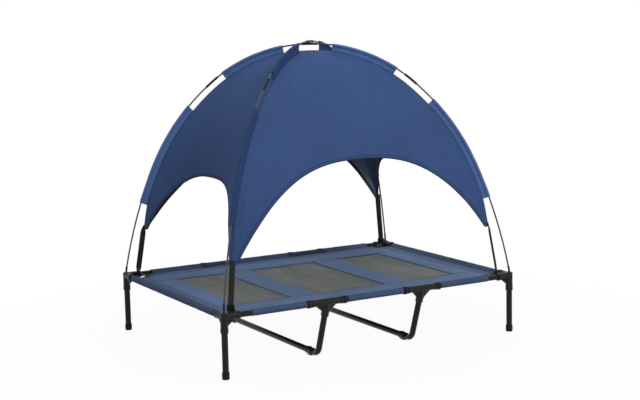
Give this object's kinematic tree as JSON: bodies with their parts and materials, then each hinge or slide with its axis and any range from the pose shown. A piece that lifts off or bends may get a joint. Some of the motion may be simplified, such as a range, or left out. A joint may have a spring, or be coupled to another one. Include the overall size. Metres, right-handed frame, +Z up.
{
  "type": "raised dog bed with canopy",
  "caption": "Raised rectangular dog bed: a mesh-windowed fabric sling on a tube frame, with a lift-off domed canopy on crossed poles.",
  "frame": {"origin": "on the floor, under the middle of the bed", "axes": "+X along the long sides, +Y from the front long side to the rear one, +Z up"},
  "size_m": [1.221, 0.8914, 1.1101],
  "materials": {
    "tube_black": "powder coated",
    "moulded_black": "satin moulded",
    "cap_black": "matte",
    "sling_cloth": "plain woven",
    "mesh_cloth": "open mesh",
    "canopy_cloth": "plain woven",
    "sleeve_cloth": "plain woven",
    "webbing": "webbing",
    "buckle_black": "satin moulded",
    "rod_grey": "glass fibre",
    "pole_black": "satin"
  },
  "bodies": {
    "bed": {"corner_fitting_front_left": "moulded_black", "corner_fitting_front_right": "moulded_black", "corner_fitting_rear_left": "moulded_black", "corner_fitting_rear_right": "moulded_black", "corner_leg_front_left": "tube_black", "corner_leg_front_right": "tube_black", "corner_leg_rear_left": "tube_black", "corner_leg_rear_right": "tube_black", "foot_cap_front_left": "cap_black", "foot_cap_front_right": "cap_black", "foot_cap_rear_left": "cap_black", "foot_cap_rear_right": "cap_black", "tee_front_left": "moulded_black", "tee_front_right": "moulded_black", "tee_rear_left": "moulded_black", "tee_rear_right": "moulded_black", "support_leg_front_left": "tube_black", "support_leg_front_right": "tube_black", "support_leg_rear_left": "tube_black", "support_leg_rear_right": "tube_black", "support_foot_front_left": "moulded_black", "support_foot_front_right": "moulded_black", "support_foot_rear_left": "moulded_black", "support_foot_rear_right": "moulded_black", "cross_bar_left": "tube_black", "cross_bar_right": "tube_black", "end_rail_left": "tube_black", "end_rail_right": "tube_black", "front_rail_left": "tube_black", "front_rail_middle": "tube_black", "front_rail_right": "tube_black", "rear_rail_left": "tube_black", "rear_rail_middle": "tube_black", "rear_rail_right": "tube_black", "sling": "sling_cloth", "mesh_left": "mesh_cloth", "mesh_middle": "mesh_cloth", "mesh_right": "mesh_cloth", "corner_loops": "webbing", "strap_buckles": "buckle_black"},
    "canopy": {"lower_pole_rods": "rod_grey", "upper_pole_rods": "rod_grey", "lower_pole_ferrules": "pole_black", "upper_pole_ferrules": "pole_black", "pole_tips": "pole_black", "lower_pole_sleeves": "sleeve_cloth", "upper_pole_sleeves": "sleeve_cloth", "canopy_front": "canopy_cloth", "canopy_rear": "canopy_cloth", "canopy_left": "canopy_cloth", "canopy_right": "canopy_cloth", "canopy_strap_front_left": "webbing", "canopy_strap_front_right": "webbing", "canopy_strap_rear_left": "webbing", "canopy_strap_rear_right": "webbing"}
  },
  "joints": [
    {"name": "canopy_lift", "type": "slide", "parent": "bed", "child": "canopy", "axis": [0, 0, 1], "range_m": [0, 0.06]}
  ]
}
